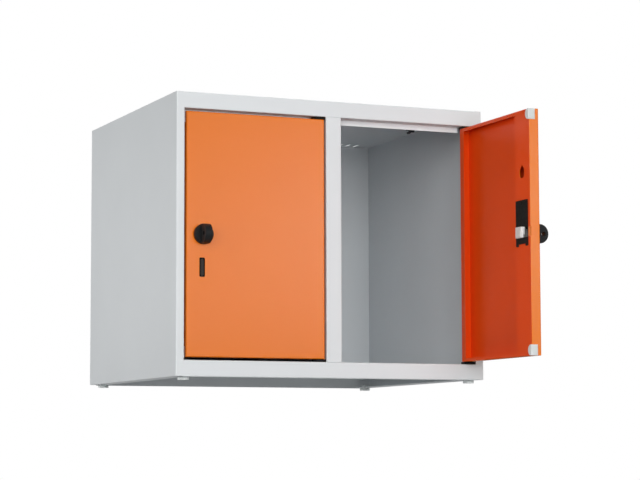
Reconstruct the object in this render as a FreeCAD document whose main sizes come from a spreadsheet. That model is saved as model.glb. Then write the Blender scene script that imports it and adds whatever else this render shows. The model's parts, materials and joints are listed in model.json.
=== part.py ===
import FreeCAD, Part
import math
import os
import re

import Sketcher
from FreeCAD import Placement, Rotation, Vector

# Two-compartment add-on locker in folded sheet steel, in millimetres.
# The origin lies on the ground under the middle of the carcass: +X right, +Y back, +Z up.
# Every length below is an expression of the sizes, so a changed size moves all that depends on it.

SIZES = (
    ("width", 600, "carcass, outside"),
    ("depth", 500, "carcass, outside"),
    ("height", 500, "carcass without the feet"),
    ("foot_height", 5, "ground to the bottom rail"),
    ("gauge", 1, "sheet thickness"),
    ("bend", 1, "inside radius of a fold"),
    ("seam", 0.3, "open joint between two sheets"),
    ("stile", 15, "face of the side panel's front flange"),
    ("rail", 29, "face of the top and the bottom rail"),
    ("post", 30, "face of the centre post"),
    ("frame_depth", 22, "front face to the stop lips"),
    ("top_stop", 10, "drop of the stop lip under the top rail"),
    ("side_stop", 8, "reach of the stop lips beside the opening"),
    ("stop_relief", 15, "top stop lip short of the hinge side lip"),
    ("rear_flange", 15, "flanges that frame the back panel"),
    ("base_return", 9, "inward fold under the bottom rail"),
    ("base_flange", 32, "inward fold under the side panels"),
    ("stile_lift", 1, "side panel's lower edge above the bottom rail's"),
    ("partition_flange", 22, "partition's flanges"),
    ("vent_count", 14, "slots over each compartment"),
    ("vent_pitch", 17.2, "slot to slot"),
    ("vent_width", 5, "slot across"),
    ("vent_length", 28, "slot, front to back"),
    ("vent_corner", 1.5, "slot's clipped corners"),
    ("vent_setback", 4, "slot to the rear face"),
    ("foot_radius", 10, "foot"),
    ("foot_side", 21, "foot centre to the side"),
    ("foot_end", 21, "foot centre to the front or rear face"),
    ("foot_stem", 7, "side of the foot's square stem"),
    ("foot_stem_length", 6, "stem above the foot"),
    ("stem_clearance", 0.1, "around the foot's stem in its hole"),
    ("hook_width", 6, "coat hook, front to back"),
    ("hook_plate_width", 14, "coat hook's plate across"),
    ("hook_plate_length", 15, "coat hook's plate, front to back"),
    ("hook_plate", 1.5, "thickness of the coat hook's plate"),
    ("hook_body", 5, "roof to the underside of the hook's body"),
    ("hook_drop", 9, "roof to the tip of the prong"),
    ("hook_prong", 4, "hook's prong across"),
    ("hook_wall", 22, "hook's plate to the wall beside it"),
    ("hook_front", 12, "hook before the middle of the roof"),
    ("door_side_gap", 3.5, "door to the stile and to the post"),
    ("door_end_gap", 5, "door to the rails"),
    ("door_depth", 19, "door, front to back"),
    ("door_edge", 2, "rounding of the door's front edges"),
    ("hinge_lip", 15, "door's return lip on the hinge side"),
    ("end_lip", 6, "door's return lips at top and bottom"),
    ("strip", 52.5, "door's lock strip along the free edge"),
    ("stiffener_foot", 12, "stiffener's flange on the door skin"),
    ("pivot_edge", 6, "hinge axis to the door's edge"),
    ("pivot_depth", 5, "hinge axis behind the door's face"),
    ("left_angle", 0, "left door as built, degrees open"),
    ("right_angle", 90, "right door as built, degrees open"),
    ("pin_radius", 2.5, "hinge pin"),
    ("pin_clearance", 0.05, "radial, hinge pin in its bearing"),
    ("pin_relief", 0.3, "radial, hinge pin in the rail"),
    ("pin_outside", 10, "hinge pin beyond the door"),
    ("bracket_gauge", 2, "hinge pin bracket"),
    ("bracket_height", 6, "hinge pin bracket, up the door"),
    ("bracket_reach", 17, "hinge pin bracket, across the door"),
    ("bracket_width", 14, "hinge pin bracket, front to back"),
    ("bearing_length", 22, "hinge bearing along the rail"),
    ("bearing_width", 20, "hinge bearing, front to back"),
    ("bearing_corner", 3, "hinge bearing's corners"),
    ("bearing_clearance", 0.3, "hinge bearing to the door"),
    ("buffer_height", 19, "buffer up the door"),
    ("buffer_face", 10, "buffer on the door's inner face"),
    ("buffer_edge", 11, "buffer on the door's free edge"),
    ("buffer_proud", 2.2, "buffer off the inner face"),
    ("buffer_side", 1.2, "buffer off the free edge"),
    ("knob_setback", 31, "knob axis to the free edge"),
    ("knob_drop", 1, "knob axis under the carcass's mid-height"),
    ("knob_radius", 17.6, "knob's base"),
    ("knob_base", 8, "thickness of the knob's base"),
    ("knob_projection", 30.5, "knob off the door"),
    ("knob_gap", 0.3, "knob's base to the door"),
    ("knob_chamfer", 2.5, "edge of the knob's base"),
    ("fin_width", 13, "knob's grip fin"),
    ("fin_half_height", 17, "knob's grip fin"),
    ("padlock_radius", 4, "hole through the fin"),
    ("padlock_offset", 21, "hole through the fin, off the door"),
    ("spindle_radius", 5, "knob spindle"),
    ("spindle_square", 7, "square ends of the spindle"),
    ("spindle_grip", 5, "spindle in the knob"),
    ("spindle_clearance", 0.05, "radial, spindle in the lock case"),
    ("spindle_relief", 1, "radial, spindle in the door skin"),
    ("slot_setback", 29.5, "middle of the front slot to the free edge"),
    ("slot_drop", 58, "middle of the front slot under the knob axis"),
    ("slot_width", 10.6, "front slot"),
    ("slot_height", 34, "front slot"),
    ("slot_corner", 1.5, "front slot's clipped corners"),
    ("plug_recess", 0.7, "slot plug behind the door's face"),
    ("plug_flange", 2, "slot plug's flange behind the skin"),
    ("plug_clearance", 0.1, "slot plug in its slot"),
    ("case_near", 8, "lock case to the free edge"),
    ("case_gap", 0.7, "lock case to the stiffener"),
    ("case_above", 58, "lock case over the knob axis"),
    ("case_below", 23, "lock case under the knob axis"),
    ("case_wall", 2, "lock case's side walls"),
    ("case_floor", 2, "lock case's front wall"),
    ("case_head", 12, "solid head of the lock case"),
    ("case_foot", 10, "solid foot of the lock case"),
    ("case_boss", 8, "half the boss round the spindle"),
    ("case_boss_top", 7.1, "boss behind the door skin"),
    ("case_depth", 15.5, "lock case behind the door skin"),
    ("cover_proud", 0.8, "lock cover off the strip"),
    ("cover_corner", 2, "lock cover's corners"),
    ("cover_gap", 0.3, "lock cover in the strip"),
    ("lug_width", 9, "lock cover's two lower lugs"),
    ("lug_drop", 4, "lock cover's two lower lugs"),
    ("crank_angle", 45, "crank from upright at either end of its swing"),
    ("crank_pin", 2.5, "radius of the crank pin"),
    ("driver_hub", 8, "radius of the driver's hub"),
    ("driver_tip", 3.5, "half the driver's arm, and its reach past the crank pin"),
    ("driver_gauge", 3, "thickness of the driver"),
    ("driver_gap", 0.2, "driver to the boss"),
    ("crank_clearance", 0.75, "crank pin in the bolt's slot, each side"),
    ("plate_gap", 0.7, "bolt's plate to the driver"),
    ("plate_gauge", 3, "bolt's plate"),
    ("plate_margin", 3, "bolt's plate beside its slot"),
    ("bolt_low", 9, "bolt's lower edge under the knob axis"),
    ("bolt_height", 19, "bolt"),
    ("bolt_length", 19, "bolt's head along its slide"),
    ("bolt_hook", 6, "lower part of the bolt that hooks behind the stop lip"),
    ("bolt_lead", 2.5, "lead-in bevel at the lower part of the bolt's nose"),
    ("strike_clearance", 1, "cut-out in the stop lip round the bolt"),
    ("bolt_leg", 4, "leg through the cover, along the slide"),
    ("bolt_leg_inset", 1.5, "leg to the bolt's upper and lower edges"),
    ("bolt_gap", 0.4, "bolt to the cover, and behind the stop lip"),
    ("bolt_proud", 9.6, "bolt off the door's inner face"),
    ("bolt_bevel", 1, "bevel of the bolt's nose"),
    ("pull_rise", 97, "pointed hole's lower end over the knob axis"),
    ("pull_width", 16, "pointed hole"),
    ("pull_height", 24, "pointed hole"),
    ("pull_point", 9, "tapered part of the pointed hole"),
    ("pull_setback", 28, "pointed hole's middle to the free edge"),
    ("ramp_low", 8, "bevel in the free edge: lower end under the knob axis"),
    ("ramp_height", 18, "bevel in the free edge"),
    ("ramp_depth", 2.5, "bevel's depth on the free-edge face"),
)

doc = FreeCAD.newDocument("locker")
sizes = doc.addObject("Spreadsheet::Sheet", "Sizes")
for row, (word, number, note) in enumerate(SIZES, start=1):
    sizes.set(f"A{row}", note)
    sizes.set(f"B{row}", str(number))
    sizes.setAlias(f"B{row}", word)
doc.recompute()

WORDS = {word for word, number, note in SIZES}
FRONT = "(-depth / 2)"
BACK = "(depth / 2)"
BASE = "foot_height"
TOP = "(foot_height + height)"
OPENING_LOW = "(foot_height + rail)"
OPENING_HIGH = "(foot_height + height - rail)"
STOP = "(-depth / 2 + frame_depth)"
CORNER = "(gauge + bend)"
OPENING_SIDE = "(width / 2 - stile)"
WALL = "(width / 2 - gauge)"
CUT_PAST = "1"

# The doors are drawn about their own hinge axis, closed, with the free edge towards -X.
DOOR_WIDTH = "((width - 2 * stile - post) / 2 - 2 * door_side_gap)"
FREE_EDGE = f"(pivot_edge - {DOOR_WIDTH})"
FACE = "(-pivot_depth)"
INNER = "(door_depth - pivot_depth)"
DOOR_LOW = f"({OPENING_LOW} + door_end_gap)"
DOOR_HIGH = f"({OPENING_HIGH} - door_end_gap)"
PIVOT_Y = "(-depth / 2 + pivot_depth)"
LEFT_PIVOT = "(-post / 2 - door_side_gap - pivot_edge)"
RIGHT_PIVOT = "(width / 2 - stile - door_side_gap - pivot_edge)"
KNOB_X = f"({FREE_EDGE} + knob_setback)"
KNOB_Z = "(foot_height + height / 2 - knob_drop)"

# The crank pin at either end of its swing stands off the knob axis by what room the lock case has.
SLOT_SIDE = "(crank_pin + crank_clearance)"
CASE_FAR = "(strip - gauge - case_gap)"
REACH = f"({CASE_FAR} - case_wall - bolt_gap - plate_margin - {SLOT_SIDE} - knob_setback)"
BOLT_LOW = f"({KNOB_Z} - bolt_low)"
BOLT_HIGH = f"({BOLT_LOW} + bolt_height)"
BOLT_SEAT = "(door_depth + cover_proud + bolt_gap)"
STRIKE_FRONT = f"({FRONT} + {BOLT_SEAT} - strike_clearance)"
STRIKE_LOW = f"({BOLT_LOW} + bolt_hook - strike_clearance)"
STRIKE_HIGH = f"({BOLT_HIGH} + strike_clearance)"


def bound(text):
    """An expression with each size word pointed at its cell."""
    return re.sub(r"[a-z_]+", lambda m: f"Sizes.{m.group()}" if m.group() in WORDS else m.group(), text)


def value(text):
    return float(sizes.evalExpression(bound(text)))


def along(setback):
    """Door X at a distance from the free edge."""
    return f"({FREE_EDGE} + {setback})"


def behind(distance):
    """Door Y at a distance behind the door's outer face."""
    return f"({FACE} + {distance})"


def over(rise):
    """Z at a height over the knob axis."""
    return f"({KNOB_Z} + {rise})"


def box(x0, y0, x1, y1, radius=None):
    """The four corners of a rectangle, rounded where a radius is given."""
    corners = [(x0, y0), (x1, y0), (x1, y1), (x0, y1)]
    return [corner + (radius,) if radius else corner for corner in corners]


def square(x, y, half):
    """A square about a point."""
    return box(f"({x} - {half})", f"({y} - {half})", f"({x} + {half})", f"({y} + {half})")


def clipped(x0, y0, x1, y1, clip):
    """A rectangle with its corners cut off."""
    left = f"({x0} + {clip})"
    right = f"({x1} - {clip})"
    low = f"({y0} + {clip})"
    high = f"({y1} - {clip})"
    return [(left, y0), (right, y0), (x1, low), (x1, high), (right, y1), (left, y1), (x0, high), (x0, low)]


def shifted(text, way, distance):
    """A coordinate moved by a distance one way, the other way or not at all."""
    sign = round(way)
    if sign == 0:
        return text
    return f"({text} {'+' if sign > 0 else '-'} {distance})"


def directions(points, closed):
    """The unit direction of each side that leaves a point."""
    ahead = points[1:] + points[:1] if closed else points[1:]
    ways = []
    for (x0, y0), (x1, y1) in zip(points, ahead):
        length = math.hypot(x1 - x0, y1 - y0)
        ways.append(((x1 - x0) / length, (y1 - y0) / length))
    return ways


def folded(path, side=1, gauge="gauge", radius="bend"):
    """Outline of a sheet folded square along a path; side 1 lays the metal to the path's left."""
    ways = directions([(value(x), value(y)) for x, y in path], closed=False)
    normals = [(-side * dy, side * dx) for dx, dy in ways]
    outer = f"({gauge} + {radius})"
    near = []
    far = []
    for i, (x, y) in enumerate(path):
        touching = normals[max(i - 1, 0):i + 1]
        across = (sum(n[0] for n in touching), sum(n[1] for n in touching))
        offset = (shifted(x, across[0], gauge), shifted(y, across[1], gauge))
        if 0 < i < len(path) - 1:
            turn = ways[i - 1][0] * ways[i][1] - ways[i - 1][1] * ways[i][0]
            path_outside = turn * side > 0
            near.append((x, y, outer if path_outside else radius))
            far.append(offset + (radius if path_outside else outer,))
        else:
            near.append((x, y))
            far.append(offset)
    return near + far[::-1]


class Outline:
    """One sketch on a plane of its body, whose points are tied to the sizes."""

    def __init__(self, body, role, level):
        self.sketch = body.newObject("Sketcher::SketchObject", f"{body.Label}_outline")
        plane = [p for p in body.Origin.OriginFeatures if p.Role == role][0]
        self.sketch.AttachmentSupport = [(plane, "")]
        self.sketch.MapMode = "FlatFace"
        self.sketch.AttachmentOffset = Placement(Vector(0, 0, value(level)), Rotation())
        self.sketch.setExpression("AttachmentOffset.Base.z", bound(level))
        self.constraints = []
        self.texts = []

    def tie(self, kind, *where, text=None):
        number = () if text is None else (value(text),)
        self.constraints.append(Sketcher.Constraint(kind, *where, *number))
        self.texts.append(text)

    def pin(self, element, end, x, y):
        self.tie("DistanceX", -1, 1, element, end, text=x)
        self.tie("DistanceY", -1, 1, element, end, text=y)

    def circle(self, x, y, radius):
        shape = Part.Circle(Vector(value(x), value(y)), Vector(0, 0, 1), value(radius))
        element = self.sketch.addGeometry(shape)
        self.pin(element, 3, x, y)
        self.tie("Radius", element, text=radius)

    def loop(self, corners):
        """A closed loop of straight sides; a third value rounds that corner."""
        ways = directions([(value(c[0]), value(c[1])) for c in corners], closed=True)
        ends = []
        for i, corner in enumerate(corners):
            x, y = corner[:2]
            radius = corner[2] if len(corner) == 3 else None
            into, away = ways[i - 1], ways[i]
            arrive = (shifted(x, -into[0], radius), shifted(y, -into[1], radius)) if radius else (x, y)
            leave = (shifted(x, away[0], radius), shifted(y, away[1], radius)) if radius else (x, y)
            ends.append((arrive, leave, radius, into, away))
        lines = []
        for i, (arrive, leave, radius, into, away) in enumerate(ends):
            stop = ends[(i + 1) % len(ends)][0]
            start_point = Vector(value(leave[0]), value(leave[1]))
            stop_point = Vector(value(stop[0]), value(stop[1]))
            lines.append(self.sketch.addGeometry(Part.LineSegment(start_point, stop_point)))
        for i, (arrive, leave, radius, into, away) in enumerate(ends):
            self.pin(lines[i], 1, *leave)
            if radius:
                self.pin(lines[i - 1], 2, *arrive)
                self.arc(lines[i - 1], lines[i], arrive, leave, radius, into, away)
            else:
                self.tie("Coincident", lines[i - 1], 2, lines[i], 1)

    def arc(self, before, after, arrive, leave, radius, into, away):
        """The rounding between two sides that meet square."""
        size = value(radius)
        first = Vector(value(arrive[0]), value(arrive[1]))
        last = Vector(value(leave[0]), value(leave[1]))
        centre = first + Vector(away[0], away[1]) * size
        left_turn = into[0] * away[1] - into[1] * away[0] > 0
        start, stop = (first, last) if left_turn else (last, first)
        angles = [math.atan2(p.y - centre.y, p.x - centre.x) for p in (start, stop)]
        round_edge = Part.ArcOfCircle(Part.Circle(centre, Vector(0, 0, 1), size), *angles)
        element = self.sketch.addGeometry(round_edge)
        self.tie("Coincident", before, 2, element, 1 if left_turn else 2)
        self.tie("Coincident", after, 1, element, 2 if left_turn else 1)
        self.tie("Radius", element, text=radius)

    def finish(self):
        numbers = self.sketch.addConstraint(self.constraints)
        for number, text in zip(numbers, self.texts):
            if text is not None:
                self.sketch.setExpression(f"Constraints[{number}]", bound(text))
        return self.sketch


def feature(kind, body, role, loops, low, high, level):
    outline = Outline(body, role, level)
    for loop in loops:
        if isinstance(loop, tuple):
            outline.circle(*loop)
        else:
            outline.loop(loop)
    made = body.newObject(f"PartDesign::{kind}", f"{body.Label}_{kind.lower()}")
    made.Profile = outline.finish()
    made.setExpression("Length", bound(f"{high} - {low}"))
    return made


def pad(body, role, loops, low, high):
    """Material from low to high along the plane's axis; a loop is corners, or a circle's x, y, radius."""
    level = f"-({high})" if role == "XZ_Plane" else low
    return feature("Pad", body, role, loops, low, high, level)


def cut(body, role, loops, low, high):
    """A cut from low to high along the plane's axis."""
    level = f"-({low})" if role == "XZ_Plane" else high
    return feature("Pocket", body, role, loops, low, high, level)


def new_body(node):
    return doc.addObject("PartDesign::Body", node)


def place(item, x, y, z="0", angle=None):
    """Put a sub-part at a place written in the sizes, turned about the vertical."""
    item.Placement = Placement(Vector(value(x), value(y), value(z)), Rotation(Vector(0, 0, 1), 0))
    for letter, text in zip("xyz", (x, y, z)):
        item.setExpression(f"Placement.Base.{letter}", bound(text))
    if angle is not None:
        item.setExpression("Placement.Rotation.Angle", bound(angle))


nodes = []


def keep(item):
    nodes.append(item)
    return item


def edges_at(made, axis, text):
    """Names of a feature's edges that lie in one plane across an axis."""
    level = value(text)
    names = []
    for i, edge in enumerate(made.Shape.Edges, start=1):
        span = edge.BoundBox
        low, high = {"y": (span.YMin, span.YMax), "z": (span.ZMin, span.ZMax)}[axis]
        if abs(low - level) < 1e-6 and abs(high - level) < 1e-6:
            names.append(f"Edge{i}")
    return names


# Carcass

def side_panel(node, sign):
    """Wall with rear flange, front stile, return and stop lip, and a foot flange along the bottom."""
    body = keep(new_body(node))

    def x(text):
        return f"({sign} * {text})"

    lip = f"({OPENING_SIDE} - side_stop)"
    path = [
        (x(RAIL_END), BACK),
        (x("(width / 2)"), BACK),
        (x("(width / 2)"), FRONT),
        (x(OPENING_SIDE), FRONT),
        (x(OPENING_SIDE), STOP),
        (x(lip), STOP),
    ]
    low = f"({BASE} + stile_lift)"
    pad(body, "XY_Plane", [folded(path, side=-sign)], low, TOP)
    lip_edge = x(f"({lip} - {CUT_PAST})")
    lip_back = f"({STOP} + gauge + {CUT_PAST})"
    notch = box(x(RAIL_END), f"({FRONT} - {CUT_PAST})", lip_edge, lip_back)
    cut(body, "XY_Plane", [notch], low, OPENING_LOW)
    cut(body, "XY_Plane", [notch], OPENING_HIGH, TOP)
    flange = box(x(f"({WALL} + gauge / 2)"), f"({FRONT} + {CORNER})",
                 x("(width / 2 - base_flange)"), f"({BACK} - {CORNER})")
    pad(body, "XY_Plane", [flange], low, f"({low} + gauge)")
    stem_hole = "(foot_stem / 2 + stem_clearance)"
    holes = [square(x("(width / 2 - foot_side)"), y, stem_hole) for y in FOOT_ROWS.values()]
    cut(body, "XY_Plane", holes, low, f"({low} + gauge)")
    if sign < 0:
        strike = box(x(RAIL_END), STRIKE_FRONT, lip_edge, lip_back)
        cut(body, "XY_Plane", [strike], STRIKE_LOW, STRIKE_HIGH)


FOOT_ROWS = {"front": f"({FRONT} + foot_end)", "rear": f"({BACK} - foot_end)"}
RAIL_END = f"({OPENING_SIDE} + {CORNER})"
PIN_HOLES = [(pivot, PIVOT_Y, "(pin_radius + pin_relief)") for pivot in (LEFT_PIVOT, RIGHT_PIVOT)]
SHEET_FRONT = f"({FRONT} + {CORNER})"
SHEET_REAR = f"({BACK} - {CORNER})"


def roof_panel():
    """Rear flange, roof, top rail, the rail's underside and the stop lip in one folded sheet."""
    body = keep(new_body("roof_panel"))
    path = [
        (BACK, f"({TOP} - rear_flange)"),
        (BACK, TOP),
        (FRONT, TOP),
        (FRONT, OPENING_HIGH),
        (STOP, OPENING_HIGH),
        (STOP, f"({OPENING_HIGH} - top_stop)"),
    ]
    pad(body, "YZ_Plane", [folded(path)], f"(-{RAIL_END})", RAIL_END)
    pad(body, "XY_Plane", [box(f"(-{WALL})", SHEET_FRONT, WALL, SHEET_REAR)], f"({TOP} - gauge)", TOP)
    lock_side = f"({OPENING_SIDE} - side_stop - seam)"
    post_lock_side = "(post / 2 + side_stop + seam)"
    post_hinge_side = "(post / 2 + side_stop + stop_relief)"
    hinge_side = f"({OPENING_SIDE} - side_stop - stop_relief)"
    ends = [
        (f"(-{RAIL_END} - {CUT_PAST})", f"(-{lock_side})"),
        (f"(-{post_hinge_side})", post_lock_side),
        (hinge_side, f"({RAIL_END} + {CUT_PAST})"),
    ]
    gaps = [box(x0, f"({OPENING_HIGH} - top_stop - {CUT_PAST})", x1, OPENING_HIGH) for x0, x1 in ends]
    cut(body, "XZ_Plane", gaps, f"({STOP} - {CORNER})", f"({STOP} + {CORNER})")
    cut(body, "XY_Plane", PIN_HOLES, OPENING_HIGH, f"({OPENING_HIGH} + gauge)")
    slot_end = f"({BACK} - vent_setback)"
    row_length = "(vent_pitch * (vent_count - 1))"
    for sign in (-1, 1):
        middle = f"({sign} * (post / 2 + {OPENING_SIDE}) / 2)"
        first = f"({middle} - {row_length} / 2)"
        slot = clipped(f"({first} - vent_width / 2)", f"({slot_end} - vent_length)",
                       f"({first} + vent_width / 2)", slot_end, "vent_corner")
        opening = cut(body, "XY_Plane", [slot], f"({TOP} - gauge)", TOP)
        pattern = body.newObject("PartDesign::LinearPattern", "vent_row")
        pattern.Originals = [opening]
        pattern.Direction = (opening.Profile[0], ["H_Axis"])
        pattern.setExpression("Length", bound(row_length))
        pattern.setExpression("Occurrences", bound("vent_count"))
        body.Tip = pattern


def floor_panel():
    """Rear flange, floor, bottom rail and its inward fold in one sheet."""
    body = keep(new_body("floor_panel"))
    path = [
        (BACK, BASE),
        (BACK, OPENING_LOW),
        (FRONT, OPENING_LOW),
        (FRONT, BASE),
        (f"({FRONT} + base_return)", BASE),
    ]
    pad(body, "YZ_Plane", [folded(path)], f"(-{RAIL_END})", RAIL_END)
    sheet = box(f"(-{WALL})", SHEET_FRONT, WALL, SHEET_REAR)
    pad(body, "XY_Plane", [sheet], f"({OPENING_LOW} - gauge)", OPENING_LOW)
    cut(body, "XY_Plane", PIN_HOLES, f"({OPENING_LOW} - gauge)", OPENING_LOW)


def back_panel():
    body = keep(new_body("back_panel"))
    side = f"(width / 2 - {CORNER})"
    outline = box(f"(-{side})", OPENING_LOW, side, f"({TOP} - {CORNER})")
    pad(body, "XZ_Plane", [outline], f"({BACK} - 2 * gauge)", f"({BACK} - gauge)")


def partition():
    """Wall between the compartments, flanged on to the centre post and the back panel."""
    body = keep(new_body("partition"))
    front = f"({STOP} + gauge)"
    rear = f"({BACK} - 2 * gauge)"
    path = [
        ("(-partition_flange)", front),
        ("(gauge / 2)", front),
        ("(gauge / 2)", rear),
        ("(-partition_flange)", rear),
    ]
    pad(body, "XY_Plane", [folded(path)], OPENING_LOW, f"({TOP} - gauge)")


def centre_post():
    """Hat section with a stop lip on either side, the right one cut out for the bolt."""
    body = keep(new_body("centre_post"))
    lip = "(post / 2 + side_stop)"
    path = [
        (f"(-{lip})", STOP),
        ("(-post / 2)", STOP),
        ("(-post / 2)", FRONT),
        ("(post / 2)", FRONT),
        ("(post / 2)", STOP),
        (lip, STOP),
    ]
    pad(body, "XY_Plane", [folded(path)], OPENING_LOW, OPENING_HIGH)
    lip_back = f"({STOP} + gauge + {CUT_PAST})"
    strike = box(f"(post / 2 - {CORNER})", STRIKE_FRONT, f"({lip} + {CUT_PAST})", lip_back)
    cut(body, "XY_Plane", [strike], STRIKE_LOW, STRIKE_HIGH)


def foot(node, x, y):
    """Plastic foot whose square stem stands in the side panel's bottom flange."""
    body = keep(new_body(node))
    shoulder = f"({BASE} + stile_lift)"
    pad(body, "XY_Plane", [("0", "0", "foot_radius")], "0", shoulder)
    stem = square("0", "0", "(foot_stem / 2)")
    pad(body, "XY_Plane", [stem], shoulder, f"({shoulder} + foot_stem_length)")
    place(body, x, y)


def hinge_bearing(node, pivot, low, high):
    """Plastic bearing plate in the gap between door and rail, against the hinge-side frame."""
    body = keep(new_body(node))
    side = "(pivot_edge + door_side_gap)"
    front = "(gauge - pivot_depth)"
    rear = f"({front} + bearing_width)"
    plate = clipped(f"({side} - bearing_length)", front, side, rear, "bearing_corner")
    pad(body, "XY_Plane", [plate, ("0", "0", "(pin_radius + pin_clearance)")], low, high)
    place(body, pivot, PIVOT_Y)


def coat_hook(node, wall):
    """Hook under the roof beside the right wall of its compartment, its prong towards the left."""
    body = keep(new_body(node))
    ceiling = f"({TOP} - gauge)"
    right = f"({wall} - hook_wall)"
    left = f"({right} - hook_plate_width)"
    plate_low = f"({ceiling} - hook_plate)"
    half = "(hook_plate_length / 2)"
    plate = box(left, f"(-hook_front - {half})", right, f"(-hook_front + {half})")
    pad(body, "XY_Plane", [plate], plate_low, ceiling)
    root = f"({ceiling} - hook_plate / 2)"
    body_low = f"({ceiling} - hook_body)"
    tip = f"({ceiling} - hook_drop)"
    profile = [
        (right, root),
        (f"({left} + hook_prong)", root),
        (f"({left} + hook_prong)", f"({body_low} + hook_plate)"),
        (left, f"({tip} + hook_prong)"),
        (left, tip),
        (f"({left} + hook_prong)", tip),
        (f"({left} + 2 * hook_prong)", body_low),
        (right, body_low),
    ]
    pad(body, "XZ_Plane", [profile], "(-hook_front - hook_width / 2)", "(-hook_front + hook_width / 2)")


# Doors

def cover_outline(gap):
    """The lock cover: a plate with two lugs at its foot, grown by a gap."""
    near = f"({along('case_near')} - {gap})"
    far = f"({along(CASE_FAR)} + {gap})"
    top = f"({over('case_above')} + {gap})"
    foot_line = f"({over('-case_below')} - {gap})"
    arch = f"({over('-case_below')} + lug_drop - {gap})"
    inside_near = f"({near} + lug_width + 2 * {gap})"
    inside_far = f"({far} - lug_width - 2 * {gap})"
    corner = "cover_corner"
    return [(near, top, corner), (far, top, corner), (far, foot_line, corner), (inside_far, foot_line),
            (inside_far, arch), (inside_near, arch), (inside_near, foot_line), (near, foot_line, corner)]


SKIN_BACK = behind("gauge")
STRIP_BACK = behind("(door_depth - gauge)")
CASE_FRONT = SKIN_BACK
CASE_BACK = f"({SKIN_BACK} + case_depth)"
COVER_FACE = f"({INNER} + cover_proud)"
BOSS_TOP = f"({SKIN_BACK} + case_boss_top)"
DRIVER_LOW = f"({BOSS_TOP} + driver_gap)"
DRIVER_HIGH = f"({DRIVER_LOW} + driver_gauge)"
PLATE_LOW = f"({DRIVER_HIGH} + plate_gap)"
PLATE_HIGH = f"({PLATE_LOW} + plate_gauge)"
BOLT_END = f"(case_near + case_wall + bolt_gap + 2 * {REACH} + bolt_leg)"
CRANK = f"({REACH} / sin(crank_angle))"
PIN_X = f"({KNOB_X} + {REACH})"
PIN_Z = f"({KNOB_Z} + {CRANK} * cos(crank_angle))"


def door_panel(node):
    """Folded pan: skin, four flanges, return lips and the lock strip along the free edge."""
    body = keep(new_body(node))
    outline = box(FREE_EDGE, DOOR_LOW, "pivot_edge", DOOR_HIGH)
    block = pad(body, "XZ_Plane", [outline], FACE, INNER)
    doc.recompute()
    rounded = body.newObject("PartDesign::Fillet", f"{node}_edges")
    rounded.Base = (block, edges_at(block, "y", FACE))
    rounded.setExpression("Radius", bound("door_edge"))
    hollow = box(f"({FREE_EDGE} + gauge)", f"({DOOR_LOW} + gauge)",
                 "(pivot_edge - gauge)", f"({DOOR_HIGH} - gauge)")
    cut(body, "XZ_Plane", [hollow], SKIN_BACK, STRIP_BACK)
    opening = box(along("strip"), f"({DOOR_LOW} + end_lip)",
                  "(pivot_edge - hinge_lip)", f"({DOOR_HIGH} - end_lip)")
    cut(body, "XZ_Plane", [opening], STRIP_BACK, INNER)
    pull_side = "(pull_width / 2)"
    pull_low = over("pull_rise")
    pull_shoulder = over("(pull_rise + pull_height - pull_point)")
    left = along(f"(pull_setback - {pull_side})")
    right = along(f"(pull_setback + {pull_side})")
    pull = [
        (left, pull_low, "(pull_width * 0.46)"),
        (right, pull_low, "(pull_width * 0.46)"),
        (right, pull_shoulder),
        (along("pull_setback"), over("(pull_rise + pull_height)")),
        (left, pull_shoulder),
    ]
    cut(body, "XZ_Plane", [cover_outline("cover_gap"), pull], STRIP_BACK, INNER)
    slot = clipped(along("(slot_setback - slot_width / 2)"), over("(-slot_drop - slot_height / 2)"),
                   along("(slot_setback + slot_width / 2)"), over("(-slot_drop + slot_height / 2)"),
                   "slot_corner")
    spindle_hole = (KNOB_X, KNOB_Z, "(spindle_radius + spindle_relief)")
    cut(body, "XZ_Plane", [slot, spindle_hole], FACE, SKIN_BACK)
    pin_hole = [("0", "0", "(pin_radius + pin_clearance)")]
    cut(body, "XY_Plane", pin_hole, DOOR_LOW, f"({DOOR_LOW} + gauge)")
    cut(body, "XY_Plane", pin_hole, f"({DOOR_HIGH} - gauge)", DOOR_HIGH)
    ramp_low = over("(-ramp_low)")
    ramp_high = f"({ramp_low} + ramp_height)"
    ramp_start = f"({INNER} - ramp_depth)"
    ramp_end = along("(case_near - cover_gap - gauge / 2)")
    backing = [
        (f"({FREE_EDGE} + gauge / 2)", ramp_start),
        (ramp_end, f"({INNER} - gauge / 2)"),
        (ramp_end, f"({STRIP_BACK} - gauge)"),
        (f"({FREE_EDGE} + gauge / 2)", f"({ramp_start} - 2 * gauge)"),
    ]
    pad(body, "XY_Plane", [backing], ramp_low, ramp_high)
    bevel = [
        (f"({FREE_EDGE} - {CUT_PAST})", ramp_start),
        (FREE_EDGE, ramp_start),
        (ramp_end, INNER),
        (ramp_end, f"({INNER} + {CUT_PAST})"),
        (f"({FREE_EDGE} - {CUT_PAST})", f"({INNER} + {CUT_PAST})"),
    ]
    cut(body, "XY_Plane", [bevel], f"({ramp_low} + gauge)", f"({ramp_high} - gauge)")
    return body


def lock_stiffener(node):
    """Angle from the lock strip's edge to the skin, which makes the free edge a box."""
    body = keep(new_body(node))
    web = along("strip")
    path = [
        (web, STRIP_BACK),
        (web, SKIN_BACK),
        (along("(strip + stiffener_foot)"), SKIN_BACK),
    ]
    low = f"({DOOR_LOW} + gauge)"
    high = f"({DOOR_HIGH} - gauge)"
    pad(body, "XY_Plane", [folded(path)], low, high)
    return body


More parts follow.
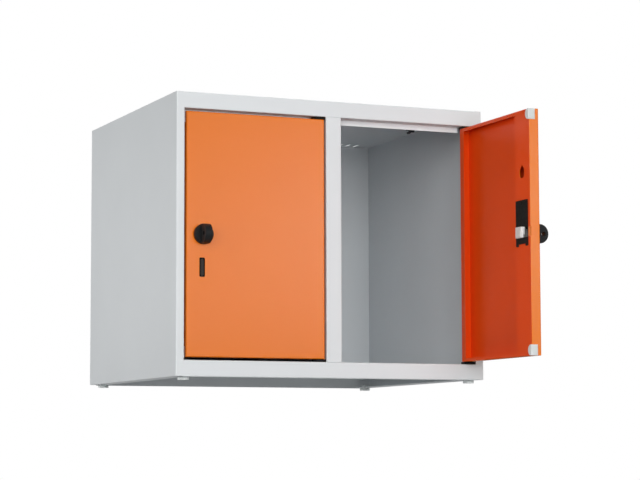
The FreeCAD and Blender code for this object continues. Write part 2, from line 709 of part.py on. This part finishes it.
def lock_housing(node):
    """Plastic lock case behind the skin, with a boss for the spindle and room for the driver."""
    body = keep(new_body(node))
    near = along("case_near")
    far = along(CASE_FAR)
    low = over("(-case_below)")
    high = over("case_above")
    pad(body, "XZ_Plane", [box(near, low, far, high)], CASE_FRONT, CASE_BACK)
    room = box(f"({near} + case_wall)", f"({low} + case_foot)",
               f"({far} - case_wall)", f"({high} - case_head)")
    cut(body, "XZ_Plane", [room], f"({CASE_FRONT} + case_floor)", CASE_BACK)
    pad(body, "XZ_Plane", [square(KNOB_X, KNOB_Z, "case_boss")], f"({CASE_FRONT} + case_floor / 2)", BOSS_TOP)
    bore = [(KNOB_X, KNOB_Z, "(spindle_radius + spindle_clearance)")]
    cut(body, "XZ_Plane", bore, CASE_FRONT, BOSS_TOP)
    return body


def lock_cover(node):
    """Black face of the lock, flush through the strip, with the window that guides the bolt."""
    body = keep(new_body(node))
    pad(body, "XZ_Plane", [cover_outline("0")], CASE_BACK, COVER_FACE)
    leg_far = along(BOLT_END)
    leg_low = f"({BOLT_LOW} + bolt_leg_inset)"
    leg_high = f"({BOLT_HIGH} - bolt_leg_inset)"
    window = box(f"({leg_far} - bolt_leg - 2 * {REACH} - bolt_gap)", f"({leg_low} - bolt_gap)",
                 f"({leg_far} + bolt_gap)", f"({leg_high} + bolt_gap)")
    cut(body, "XZ_Plane", [window], CASE_BACK, COVER_FACE)
    return body


def slot_plug(node):
    """Insert that fills the front slot from behind."""
    body = keep(new_body(node))

    def window(grow):
        side = f"(slot_width / 2 + {grow})"
        end = f"(slot_height / 2 + {grow})"
        return clipped(along(f"(slot_setback - {side})"), over(f"(-slot_drop - {end})"),
                       along(f"(slot_setback + {side})"), over(f"(-slot_drop + {end})"), "slot_corner")

    pad(body, "XZ_Plane", [window("plug_flange")], SKIN_BACK, f"({SKIN_BACK} + plug_flange)")
    pad(body, "XZ_Plane", [window("(-plug_clearance)")], behind("plug_recess"), SKIN_BACK)
    return body


def buffer(node, low):
    """Plastic buffer round the free-edge corner, a round-ended pad on the inner face."""
    body = keep(new_body(node))
    high = f"({low} + buffer_height)"
    proud = f"({INNER} + buffer_proud)"
    outside = f"({FREE_EDGE} - buffer_side)"
    end = along("buffer_face")
    nose = "(buffer_height * 0.48)"
    face = [(outside, low), (end, low, nose), (end, high, nose), (outside, high)]
    pad(body, "XZ_Plane", [face], INNER, proud)
    pad(body, "XZ_Plane", [box(outside, low, FREE_EDGE, high)], f"({INNER} - buffer_edge)", INNER)
    return body


def hinge_pin(node, low, high):
    body = keep(new_body(node))
    pad(body, "XY_Plane", [("0", "0", "pin_radius")], low, high)
    return body


def pin_bracket(node, root, sign):
    """Angle inside the door's corner that backs the flange, with the hinge pin's end against it."""
    body = keep(new_body(node))
    wall = "(pivot_edge - gauge)"
    path = [(wall, f"({root} + {sign} * bracket_height)"), (wall, root), (f"({wall} - bracket_reach)", root)]
    front = f"({SKIN_BACK} + seam)"
    section = folded(path, side=-sign, gauge="bracket_gauge", radius="bend")
    pad(body, "XZ_Plane", [section], front, f"({front} + bracket_width)")
    return body


SPINDLE_SQUARE = square(KNOB_X, KNOB_Z, "(spindle_square / 2)")


def knob(node):
    """Turn knob: round base, upright grip fin with a round end and a padlock hole."""
    body = keep(new_body(node))
    seat = f"({FACE} - knob_gap)"
    front = f"({seat} - knob_base)"
    base = pad(body, "XZ_Plane", [(KNOB_X, KNOB_Z, "knob_radius")], front, seat)
    doc.recompute()
    rim = body.newObject("PartDesign::Chamfer", f"{node}_rim")
    rim.Base = (base, edges_at(base, "y", front))
    rim.setExpression("Size", bound("knob_chamfer"))
    tip = f"({FACE} - knob_projection)"
    low = f"({KNOB_Z} - fin_half_height)"
    high = f"({KNOB_Z} + fin_half_height)"
    root = f"({seat} - knob_chamfer)"
    end = "(fin_half_height * 0.99)"
    fin = [(root, low), (root, high), (tip, high, end), (tip, low, end)]
    sides = (f"({KNOB_X} - fin_width / 2)", f"({KNOB_X} + fin_width / 2)")
    pad(body, "YZ_Plane", [fin], *sides)
    cut(body, "YZ_Plane", [(f"({FACE} - padlock_offset)", KNOB_Z, "padlock_radius")], *sides)
    cut(body, "XZ_Plane", [SPINDLE_SQUARE], f"({seat} - spindle_grip)", seat)
    return body


def knob_spindle(node):
    """Round spindle with a square at each end, one in the knob and one in the driver."""
    body = keep(new_body(node))
    seat = f"({FACE} - knob_gap)"
    pad(body, "XZ_Plane", [(KNOB_X, KNOB_Z, "spindle_radius")], seat, DRIVER_LOW)
    pad(body, "XZ_Plane", [SPINDLE_SQUARE], f"({seat} - spindle_grip)", seat)
    pad(body, "XZ_Plane", [SPINDLE_SQUARE], DRIVER_LOW, DRIVER_HIGH)
    return body


def lock_driver(node):
    """Crank on the spindle whose pin works in the bolt's slot."""
    body = keep(new_body(node))
    across = "(driver_tip * cos(crank_angle))"
    down = "(driver_tip * sin(crank_angle))"
    arm = [
        (f"({KNOB_X} - {across})", f"({KNOB_Z} + {down})"),
        (f"({KNOB_X} + {across})", f"({KNOB_Z} - {down})"),
        (f"({PIN_X} + {across} + {down})", f"({PIN_Z} - {down} + {across})"),
        (f"({PIN_X} - {across} + {down})", f"({PIN_Z} + {down} + {across})"),
    ]
    pad(body, "XZ_Plane", [(KNOB_X, KNOB_Z, "driver_hub")], DRIVER_LOW, DRIVER_HIGH)
    pad(body, "XZ_Plane", [arm], DRIVER_LOW, DRIVER_HIGH)
    pad(body, "XZ_Plane", [(PIN_X, PIN_Z, "crank_pin")], DRIVER_HIGH, f"({PLATE_HIGH} + plate_gap / 2)")
    cut(body, "XZ_Plane", [SPINDLE_SQUARE], DRIVER_LOW, DRIVER_HIGH)
    return body


def bolt(node):
    """Slotted plate in the lock case, a leg through the cover and a head that hooks behind the stop lip."""
    body = keep(new_body(node))
    end = along(BOLT_END)
    tip = f"({end} - bolt_length)"
    leg_near = f"({end} - bolt_leg)"
    proud = f"({INNER} + bolt_proud)"
    seat = behind(BOLT_SEAT)
    hook = behind("(frame_depth + gauge + bolt_gap)")
    head = [
        (tip, hook),
        (end, hook),
        (end, proud),
        (f"({tip} + bolt_bevel)", proud),
        (tip, f"({proud} - bolt_bevel)"),
    ]
    pad(body, "XY_Plane", [head], BOLT_LOW, BOLT_HIGH)
    outside = f"({tip} - {CUT_PAST})"
    above = f"({proud} + {CUT_PAST})"
    lead = [
        (outside, above),
        (outside, f"({proud} - bolt_lead)"),
        (tip, f"({proud} - bolt_lead)"),
        (f"({tip} + bolt_lead)", proud),
        (f"({tip} + bolt_lead)", above),
    ]
    cut(body, "XY_Plane", [lead], BOLT_LOW, f"({BOLT_LOW} + bolt_height / 2)")
    neck = box(tip, seat, end, hook)
    pad(body, "XY_Plane", [neck], f"({BOLT_LOW} + bolt_hook)", BOLT_HIGH)
    leg_low = f"({BOLT_LOW} + bolt_leg_inset)"
    leg_high = f"({BOLT_HIGH} - bolt_leg_inset)"
    pad(body, "XZ_Plane", [box(leg_near, leg_low, end, leg_high)], PLATE_LOW, hook)
    plate_far = f"({PIN_X} + {SLOT_SIDE} + plate_margin)"
    slot_high = f"({KNOB_Z} + {CRANK} + {SLOT_SIDE})"
    plate = box(leg_near, leg_low, plate_far, f"({slot_high} + plate_margin)")
    pad(body, "XZ_Plane", [plate], PLATE_LOW, PLATE_HIGH)
    slot = box(f"({PIN_X} - {SLOT_SIDE})", f"({PIN_Z} - {SLOT_SIDE})", f"({PIN_X} + {SLOT_SIDE})", slot_high)
    cut(body, "XZ_Plane", [slot], PLATE_LOW, PLATE_HIGH)
    return body


def door(side, pivot, angle):
    """All sub-parts that one door carries, drawn closed and then turned about the hinge."""
    low_root = f"({DOOR_LOW} + gauge)"
    high_root = f"({DOOR_HIGH} - gauge)"
    pieces = [
        door_panel(f"{side}_door_panel"),
        lock_stiffener(f"{side}_lock_stiffener"),
        lock_housing(f"{side}_lock_housing"),
        lock_cover(f"{side}_lock_cover"),
        slot_plug(f"{side}_slot_plug"),
        buffer(f"{side}_lower_buffer", DOOR_LOW),
        buffer(f"{side}_upper_buffer", f"({DOOR_HIGH} - buffer_height)"),
        hinge_pin(f"{side}_lower_hinge_pin", f"({DOOR_LOW} - pin_outside)", low_root),
        hinge_pin(f"{side}_upper_hinge_pin", high_root, f"({DOOR_HIGH} + pin_outside)"),
        pin_bracket(f"{side}_lower_pin_bracket", low_root, 1),
        pin_bracket(f"{side}_upper_pin_bracket", high_root, -1),
        knob(f"{side}_knob"),
        knob_spindle(f"{side}_knob_spindle"),
        lock_driver(f"{side}_lock_driver"),
        bolt(f"{side}_bolt"),
    ]
    for piece in pieces:
        place(piece, pivot, PIVOT_Y, angle=angle)


side_panel("left_side_panel", -1)
side_panel("right_side_panel", 1)
roof_panel()
floor_panel()
back_panel()
partition()
centre_post()
for row_name, row_y in FOOT_ROWS.items():
    for side_name, side_sign in (("left", -1), ("right", 1)):
        foot(f"foot_{row_name}_{side_name}", f"({side_sign} * (width / 2 - foot_side))", row_y)
BEARING_HEIGHT = "(door_end_gap - bearing_clearance)"
BEARING_TOP = f"({OPENING_LOW} + {BEARING_HEIGHT})"
BEARING_FOOT = f"({OPENING_HIGH} - {BEARING_HEIGHT})"
HANGS = (("left", LEFT_PIVOT, "left_angle", "(-gauge / 2)"), ("right", RIGHT_PIVOT, "right_angle", WALL))
for side_name, hinge_axis, open_angle, right_wall in HANGS:
    hinge_bearing(f"{side_name}_lower_bearing", hinge_axis, OPENING_LOW, BEARING_TOP)
    hinge_bearing(f"{side_name}_upper_bearing", hinge_axis, BEARING_FOOT, OPENING_HIGH)
    coat_hook(f"{side_name}_coat_hook", right_wall)
    door(side_name, hinge_axis, open_angle)
doc.recompute()

failed = [o.Label for o in doc.Objects if {"Invalid", "Error"} & set(o.State)]
failed += [n.Label for n in nodes if n.Shape.isNull() or not n.Shape.isValid()]
if failed:
    raise RuntimeError(f"sub-parts failed: {failed}")
os.makedirs("parts", exist_ok=True)
for node in nodes:
    node.Shape.exportStep(f"parts/{node.Label}.step")
print(len(nodes), "sub-parts written")
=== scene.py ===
import json
import math

import bmesh
import bpy
from mathutils import Matrix, Vector


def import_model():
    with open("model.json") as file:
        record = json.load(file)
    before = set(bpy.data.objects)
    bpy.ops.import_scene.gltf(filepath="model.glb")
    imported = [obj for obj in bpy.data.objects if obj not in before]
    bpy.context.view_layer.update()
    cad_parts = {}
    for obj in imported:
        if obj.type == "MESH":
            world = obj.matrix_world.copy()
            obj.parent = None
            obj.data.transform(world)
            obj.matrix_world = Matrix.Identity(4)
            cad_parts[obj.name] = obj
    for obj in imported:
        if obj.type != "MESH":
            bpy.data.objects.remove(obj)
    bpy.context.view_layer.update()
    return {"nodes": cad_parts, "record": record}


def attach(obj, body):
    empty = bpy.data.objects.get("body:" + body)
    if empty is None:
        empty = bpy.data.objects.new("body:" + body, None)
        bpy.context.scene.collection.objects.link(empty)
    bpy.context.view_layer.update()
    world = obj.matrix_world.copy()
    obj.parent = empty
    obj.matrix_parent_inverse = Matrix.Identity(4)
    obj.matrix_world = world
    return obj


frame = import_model()
nodes = frame["nodes"]
scene = bpy.context.scene
scene.view_settings.view_transform = "Standard"

MM = 0.001
SIDES = ("left", "right")


def span(name):
    """Least and greatest corner of a CAD node."""
    item = nodes[name]
    points = [item.matrix_world @ v.co for v in item.data.vertices]
    return [Vector([pick(p[axis] for p in points) for axis in range(3)]) for pick in (min, max)]


# Camera: a long lens just under the locker's base, turned up and to the right

FOCAL_LENGTH = 118.4716
SENSOR_WIDTH = 36.0
FARTHEST = 100.0
CAMERA_PLACE = (-1.52053, -3.69361, -0.13294)
CAMERA_YAW, CAMERA_PITCH, CAMERA_ROLL = 23.43797, 5.85885, -0.16759


def look(yaw, pitch, roll):
    """Camera axes for a heading from +Y towards +X, a lift and a roll, in degrees."""
    yaw, pitch, roll = (math.radians(a) for a in (yaw, pitch, roll))
    ahead = Vector((
        math.sin(yaw) * math.cos(pitch),
        math.cos(yaw) * math.cos(pitch),
        math.sin(pitch),
    ))
    right = Vector((math.cos(yaw), -math.sin(yaw), 0.0))
    up = right.cross(ahead)
    tilted = right * math.cos(roll) + up * math.sin(roll)
    upright = up * math.cos(roll) - right * math.sin(roll)
    return Matrix((tilted, upright, -ahead)).transposed()


lens = bpy.data.cameras.new("camera")
lens.lens = FOCAL_LENGTH
lens.sensor_width = SENSOR_WIDTH
lens.clip_end = FARTHEST
camera = bpy.data.objects.new("camera", lens)
scene.collection.objects.link(camera)
turn = look(CAMERA_YAW, CAMERA_PITCH, CAMERA_ROLL)
camera.matrix_world = Matrix.Translation(CAMERA_PLACE) @ turn.to_4x4()
scene.camera = camera


# Materials

NOISE_LOW, NOISE_HIGH = 0.3, 0.7


def level(number):
    """An opaque grey of one brightness."""
    return (number, number, number, 1)


class Shader:
    """A Principled material and the nodes that feed it."""

    def __init__(self, name, **sockets):
        self.material = bpy.data.materials.new(name)
        self.material.use_nodes = True
        self.tree = self.material.node_tree
        self.surface = self.tree.nodes["Principled BSDF"]
        for socket, number in sockets.items():
            self.surface.inputs[socket.replace("_", " ")].default_value = number
        self.place = self.node("ShaderNodeTexCoord").outputs["Object"]

    def node(self, kind):
        return self.tree.nodes.new(kind)

    def link(self, source, target):
        self.tree.links.new(source, target)

    def noise(self, scale, detail=3.0, stretch=None):
        texture = self.node("ShaderNodeTexNoise")
        texture.inputs["Scale"].default_value = scale
        texture.inputs["Detail"].default_value = detail
        source = self.place
        if stretch:
            mapping = self.node("ShaderNodeMapping")
            mapping.inputs["Scale"].default_value = stretch
            self.link(source, mapping.inputs["Vector"])
            source = mapping.outputs["Vector"]
        self.link(source, texture.inputs["Vector"])
        return texture.outputs["Fac"]

    def ramp(self, source, first, last):
        """A colour or grey that runs from first to last over the noise's middle range."""
        ramp = self.node("ShaderNodeValToRGB")
        stops = ramp.color_ramp.elements
        stops[0].position, stops[1].position = NOISE_LOW, NOISE_HIGH
        stops[0].color, stops[1].color = first, last
        self.link(source, ramp.inputs["Fac"])
        return ramp.outputs["Color"]

    def mottle(self, colour, scale, spread):
        """Base colour with a soft variation of brightness."""
        dark = [c * (1 - spread) for c in colour] + [1]
        light = [min(1.0, c * (1 + spread)) for c in colour] + [1]
        shade = self.ramp(self.noise(scale), dark, light)
        self.link(shade, self.surface.inputs["Base Color"])

    def gloss(self, scale, low, high, stretch=None):
        """Roughness that varies softly from low to high."""
        rough = self.ramp(self.noise(scale, stretch=stretch), level(low), level(high))
        self.link(rough, self.surface.inputs["Roughness"])

    def grain(self, scale, depth, detail=2.0, stretch=None):
        """Relief of a depth in metres."""
        bump = self.node("ShaderNodeBump")
        bump.inputs["Strength"].default_value = 1.0
        bump.inputs["Distance"].default_value = depth
        self.link(self.noise(scale, detail, stretch), bump.inputs["Height"])
        self.link(bump.outputs["Normal"], self.surface.inputs["Normal"])


def powder_coat(name, colour, low=0.40, high=0.48, sheen=0.5):
    """Baked paint: faint orange peel about 2 mm across and a satin gloss."""
    shader = Shader(name, IOR=1.5, Specular_IOR_Level=sheen)
    shader.mottle(colour, scale=9.0, spread=0.012)
    shader.gloss(60.0, low, high)
    shader.grain(scale=520.0, depth=0.06 * MM)
    return shader.material


def moulded(name, colour, low, high, sheen=0.3, milk=0.0):
    """Moulded plastic with a fine grain, milky where light goes a little way in."""
    shader = Shader(name, IOR=1.46, Specular_IOR_Level=sheen, Subsurface_Weight=milk,
                    Subsurface_Scale=4 * MM, Subsurface_Radius=(1, 1, 1))
    shader.mottle(colour, scale=40.0, spread=0.06)
    shader.gloss(150.0, low, high)
    shader.grain(scale=1400.0, depth=0.05 * MM)
    return shader.material


def plated(name, colour):
    """Bright zinc on steel with faint drawing lines."""
    shader = Shader(name, Metallic=0.45)
    shader.mottle(colour, scale=120.0, spread=0.08)
    shader.gloss(90.0, low=0.38, high=0.5, stretch=(1.0, 1.0, 9.0))
    shader.grain(scale=700.0, depth=0.04 * MM, stretch=(1.0, 1.0, 12.0))
    return shader.material


GREY = powder_coat("grey_powder_coat", (0.71, 0.737, 0.752), 0.42, 0.45)
# Painted shade: a cooler copy of the grey coat for the compartment faces, set against the orange bounce
# light
GREY_PAINTED_SHADE = powder_coat("grey_painted_shade", (0.70, 0.735, 0.755))
ORANGE = powder_coat("orange_powder_coat", (0.752, 0.174, 0.008), 0.25, 0.26)
# Painted shade: a deeper, more saturated copy of the orange coat for the door's inner faces
ORANGE_PAINTED_SHADE = powder_coat("orange_painted_shade", (0.85, 0.078, 0.006), 0.30, 0.32, sheen=0.2)
BLACK = moulded("black_plastic", (0.0115, 0.0115, 0.0105), 0.55, 0.68)
DARK = moulded("dark_plastic", (0.008, 0.007, 0.006), 0.55, 0.68, sheen=0.05)
SLATE = moulded("slate_plastic", (0.041, 0.036, 0.033), 0.55, 0.68)
KNOB = moulded("knob_plastic", (0.017, 0.018, 0.019), 0.42, 0.52)
HOOK = moulded("hook_plastic", (0.085, 0.09, 0.095), 0.55, 0.68)
LIGHT = moulded("light_plastic", (0.74, 0.77, 0.765), 0.4, 0.52, milk=0.8)
ZINC = plated("zinc_plate", (0.92, 0.92, 0.91))

FINISHES = {
    "grey_paint": GREY,
    "orange_paint": ORANGE,
    "black_plastic": BLACK,
    "dark_plastic": DARK,
    "light_plastic": LIGHT,
    "zinc": ZINC,
}
for part in frame["record"]["subparts"]:
    mesh = nodes[part["node"]].data
    mesh.materials.clear()
    mesh.materials.append(FINISHES[part["material_slot"]])


# Painted shade: the door insides and the compartments get copies of the coats, a deeper orange and a
# cooler grey, that stand in for how the light falls there

HALF_GAUGE = 0.5 * MM
SQUARE_ON = 0.97
CROSSWISE = 0.3
SHEETS = ("left_side_panel", "right_side_panel", "roof_panel", "floor_panel", "back_panel", "partition")
INWARD = {"left": Vector((0, 1, 0)), "right": Vector((-1, 0, 0))}


def paint_door_shade(item, inward):
    """Painted shade: a deeper, more saturated orange on the faces that look into the door's hollow."""
    item.data.materials.append(ORANGE_PAINTED_SHADE)
    place = item.matrix_world
    middle = sum((place @ Vector(c) for c in item.bound_box), Vector()) / len(item.bound_box)
    for face in item.data.polygons:
        normal = place.to_3x3() @ face.normal
        towards = middle - place @ face.center
        along = normal.dot(inward)
        if along > SQUARE_ON or (abs(along) < CROSSWISE and normal.dot(towards) > 0):
            face.material_index = 1


def paint_compartment_shade():
    """Painted shade: a cooler grey on the carcass faces that look into the compartments, behind the
    stop lips, to cancel the orange light the open door bounces in.
    """
    wall = span("right_side_panel")[1].x - HALF_GAUGE
    floor_top = span("floor_panel")[1].z - HALF_GAUGE
    ceiling = span("roof_panel")[1].z - HALF_GAUGE
    back = span("back_panel")[1].y - HALF_GAUGE
    lip = span("centre_post")[1].y - HALF_GAUGE
    for item in (nodes[name] for name in SHEETS):
        item.data.materials.append(GREY_PAINTED_SHADE)
        for face in item.data.polygons:
            x, y, z = item.matrix_world @ face.center
            if abs(x) < wall and lip < y < back and floor_top < z < ceiling:
                face.material_index = 1


paint_compartment_shade()
for side in SIDES:
    paint_door_shade(nodes[f"{side}_door_panel"], INWARD[side])
    nodes[f"{side}_coat_hook"].data.materials[0] = HOOK
    nodes[f"{side}_knob"].data.materials[0] = KNOB
    # The lock stiffeners and pin brackets take the door's painted-shade orange too
    for name in ("lock_stiffener", "lower_pin_bracket", "upper_pin_bracket"):
        nodes[f"{side}_{name}"].data.materials[0] = ORANGE_PAINTED_SHADE


# Small things on each door: screws in the lock cover and the bar in the front slot

JOINTS = {joint["name"]: joint for joint in frame["record"]["behaviour"]["joints"]}
HINGES = {}
BUILT_OPEN = {}
for side in SIDES:
    joint = JOINTS[f"{side}_door_hinge"]
    x, y, z = joint["pos_m"]
    HINGES[side] = Vector((x, y, 0))
    BUILT_OPEN[side] = math.radians(-joint["range_deg"][0])


def on_door(side, x, y, z):
    """A place on the left door, which is built closed, or the same place on the right door."""
    swing = Matrix.Translation(HINGES[side]) @ Matrix.Rotation(BUILT_OPEN[side], 4, "Z")
    return swing @ Matrix.Translation(Vector((x, y, z)) - HINGES["left"])


def add_piece(name, shape, place, side, finish):
    """A mesh made by a bmesh function, put on a door and carried by it."""
    mesh = bpy.data.meshes.new(name)
    work = bmesh.new()
    shape(work)
    bmesh.ops.transform(work, matrix=place, verts=work.verts)
    bmesh.ops.recalc_face_normals(work, faces=work.faces)
    work.to_mesh(mesh)
    work.free()
    mesh.materials.append(finish)
    item = bpy.data.objects.new(name, mesh)
    scene.collection.objects.link(item)
    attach(item, f"{side}_door")


def screw(work):
    """Low pan head with a cross recess, its top towards +Y."""
    radius, crown = 2.8 * MM, 2.24 * MM
    rim, top = 0.35 * MM, 0.9 * MM
    arm, half, deep = 1.6 * MM, 0.38 * MM, 0.2 * MM
    sides = 24
    turns = [2 * math.pi * i / sides for i in range(sides)]
    rings = [[work.verts.new((r * math.cos(a), y, r * math.sin(a))) for a in turns]
             for r, y in ((radius, 0.0), (radius, rim), (crown, top))]
    for lower, upper in zip(rings, rings[1:]):
        for i in range(sides):
            work.faces.new((lower[i], lower[i - 1], upper[i - 1], upper[i]))
    quarter = [(arm, half), (half, half), (half, arm)]
    cross = []
    for _ in range(4):
        cross += quarter
        quarter = [(-z, x) for x, z in quarter]
    mouth = [work.verts.new((x, top, z)) for x, z in cross]
    bottom = [work.verts.new((x, deep, z)) for x, z in cross]
    for i in range(len(cross)):
        work.faces.new((mouth[i], mouth[i - 1], bottom[i - 1], bottom[i]))
    work.faces.new(bottom)
    edges = [work.edges.get((ring[i], ring[i - 1])) or work.edges.new((ring[i], ring[i - 1]))
             for ring in (rings[-1], mouth) for i in range(len(ring))]
    bmesh.ops.triangle_fill(work, edges=edges, use_beauty=True)


def bar(work):
    """Round-ended bar, its face towards -Y."""
    half, reach = 2.9 * MM, 12.2 * MM
    front, back = -0.35 * MM, 0.1 * MM
    steps = 10
    outline = []
    for end in (1, -1):
        outline += [(end * half * math.cos(a), end * (reach + half * math.sin(a)))
                    for a in (math.pi * i / steps for i in range(steps + 1))]
    rings = [[work.verts.new((x, y, z)) for x, z in outline] for y in (back, front)]
    for i in range(len(outline)):
        work.faces.new((rings[0][i], rings[0][i - 1], rings[1][i - 1], rings[1][i]))
    work.faces.new(rings[1])


SCREW_INSET = 4.5 * MM
SCREW_LIFT = 5.5 * MM
cover_low, cover_high = span("left_lock_cover")
plug_low, plug_high = span("left_slot_plug")
SCREWS = (
    ((cover_low.x + cover_high.x) / 2, cover_high.z - SCREW_LIFT),
    (cover_low.x + SCREW_INSET, cover_low.z + SCREW_LIFT),
    (cover_high.x - SCREW_INSET, cover_low.z + SCREW_LIFT),
)
SLOT_MIDDLE = (plug_low + plug_high) / 2
for side in SIDES:
    for i, (x, z) in enumerate(SCREWS, start=1):
        place = on_door(side, x, cover_high.y, z)
        add_piece(f"{side}_cover_screw_{i}", screw, place, side, BLACK)
    place = on_door(side, SLOT_MIDDLE.x, plug_low.y, SLOT_MIDDLE.z)
    add_piece(f"{side}_slot_bar", bar, place, side, SLATE)


# Studio: white surroundings and soft boxes on every side, the strongest in front

STUDIO_GLOW = 0.04
FLOOR_REACH = 6.0
FADE_START, FADE_END = 0.5, 1.7
FLOOR_SHOWN = 0.9
FLOOR_PALE = 0.85
MIDDLE = (0, 0, 0.25)


def world():
    """White behind the locker, with a faint even glow on it."""
    studio = bpy.data.worlds.new("studio")
    scene.world = studio
    studio.use_nodes = True
    tree = studio.node_tree
    tree.nodes.clear()
    out = tree.nodes.new("ShaderNodeOutputWorld")
    seen = tree.nodes.new("ShaderNodeBackground")
    seen.inputs["Color"].default_value = (1, 1, 1, 1)
    lit = tree.nodes.new("ShaderNodeBackground")
    lit.inputs["Color"].default_value = (1, 1, 1, 1)
    lit.inputs["Strength"].default_value = STUDIO_GLOW
    rays = tree.nodes.new("ShaderNodeLightPath")
    clear = tree.nodes.new("ShaderNodeMath")
    clear.operation = "MAXIMUM"
    mix = tree.nodes.new("ShaderNodeMixShader")
    links = tree.links.new
    links(rays.outputs["Is Camera Ray"], clear.inputs[0])
    links(rays.outputs["Is Transmission Ray"], clear.inputs[1])
    links(clear.outputs["Value"], mix.inputs["Fac"])
    links(lit.outputs["Background"], mix.inputs[1])
    links(seen.outputs["Background"], mix.inputs[2])
    links(mix.outputs["Shader"], out.inputs["Surface"])


def lamp(name, place, target, size, power, lights="both"):
    """A soft box that feeds the matt reflection, the gloss or both."""
    light = bpy.data.lights.new(name, "AREA")
    light.shape = "RECTANGLE"
    light.size, light.size_y = size
    light.energy = power
    item = bpy.data.objects.new(name, light)
    scene.collection.objects.link(item)
    item.visible_glossy = lights != "matt"
    item.visible_diffuse = lights != "gloss"
    item.location = place
    item.rotation_euler = (Vector(target) - Vector(place)).to_track_quat("-Z", "Y").to_euler()


def floor():
    """Pale floor that shows from above, fades out to white and lets the light through."""
    mesh = bpy.data.meshes.new("floor")
    corners = [(x * FLOOR_REACH, y * FLOOR_REACH, 0) for x, y in ((-1, -1), (1, -1), (1, 1), (-1, 1))]
    mesh.from_pydata(corners, [], [(0, 1, 2, 3)])
    item = bpy.data.objects.new("floor", mesh)
    scene.collection.objects.link(item)
    material = bpy.data.materials.new("floor")
    material.use_nodes = True
    tree = material.node_tree
    tree.nodes.clear()
    out = tree.nodes.new("ShaderNodeOutputMaterial")
    pale = tree.nodes.new("ShaderNodeBsdfDiffuse")
    pale.inputs["Color"].default_value = level(FLOOR_PALE)
    clear = tree.nodes.new("ShaderNodeBsdfTransparent")
    rays = tree.nodes.new("ShaderNodeLightPath")
    side = tree.nodes.new("ShaderNodeNewGeometry")
    upper = tree.nodes.new("ShaderNodeMath")
    upper.operation = "SUBTRACT"
    upper.inputs[0].default_value = 1.0
    seen = tree.nodes.new("ShaderNodeMath")
    seen.operation = "MULTIPLY"
    place = tree.nodes.new("ShaderNodeTexCoord")
    distance = tree.nodes.new("ShaderNodeVectorMath")
    distance.operation = "LENGTH"
    fade = tree.nodes.new("ShaderNodeMapRange")
    fade.interpolation_type = "SMOOTHSTEP"
    fade.inputs["From Min"].default_value = FADE_START
    fade.inputs["From Max"].default_value = FADE_END
    fade.inputs["To Min"].default_value = FLOOR_SHOWN
    fade.inputs["To Max"].default_value = 0.0
    shown = tree.nodes.new("ShaderNodeMath")
    shown.operation = "MULTIPLY"
    mix = tree.nodes.new("ShaderNodeMixShader")
    links = tree.links.new
    links(side.outputs["Backfacing"], upper.inputs[1])
    links(upper.outputs["Value"], seen.inputs[0])
    links(rays.outputs["Is Camera Ray"], seen.inputs[1])
    links(place.outputs["Object"], distance.inputs[0])
    links(distance.outputs["Value"], fade.inputs["Value"])
    links(seen.outputs["Value"], shown.inputs[0])
    links(fade.outputs["Result"], shown.inputs[1])
    links(shown.outputs["Value"], mix.inputs["Fac"])
    links(clear.outputs["BSDF"], mix.inputs[1])
    links(pale.outputs["BSDF"], mix.inputs[2])
    links(mix.outputs["Shader"], out.inputs["Surface"])
    mesh.materials.append(material)


world()
lamp("key", (0.2, -5.0, 1.1), MIDDLE, (3.0, 2.0), 95, "matt")
lamp("near", (0.1, -2.2, 0.25), MIDDLE, (0.8, 0.6), 10, "matt")
lamp("fill", (-3.4, -3.6, 0.8), MIDDLE, (2.4, 2.4), 49, "matt")
lamp("front", (-2.4, -4.6, 0.9), MIDDLE, (1.6, 1.6), 29, "matt")
lamp("high", (-2.0, -4.0, 2.6), MIDDLE, (1.6, 1.6), 18, "matt")
lamp("shine", (2.3, -5.0, 0.82), MIDDLE, (0.9, 0.7), 15.8, "gloss")
lamp("flank", (-1.5, 0.7, 0.28), (0, 0.7, 0.28), (2.0, 0.4), 10)
lamp("flank_front", (-1.6, -0.4, 0.28), (0, -0.4, 0.28), (0.6, 0.5), 3, "matt")
lamp("under", (-0.15, 0.3, -1.9), (0, 0, 0), (1.6, 1.2), 22.4, "matt")
lamp("rear", (1.6, 4.4, 1.4), MIDDLE, (2.4, 2.0), 150, "matt")
lamp("right", (4.6, 1.2, 0.9), MIDDLE, (2.2, 2.0), 130, "matt")
lamp("roof", (0.3, 0.45, 3.6), (0, 0.3, 0.5), (1.6, 1.2), 70, "matt")
floor()
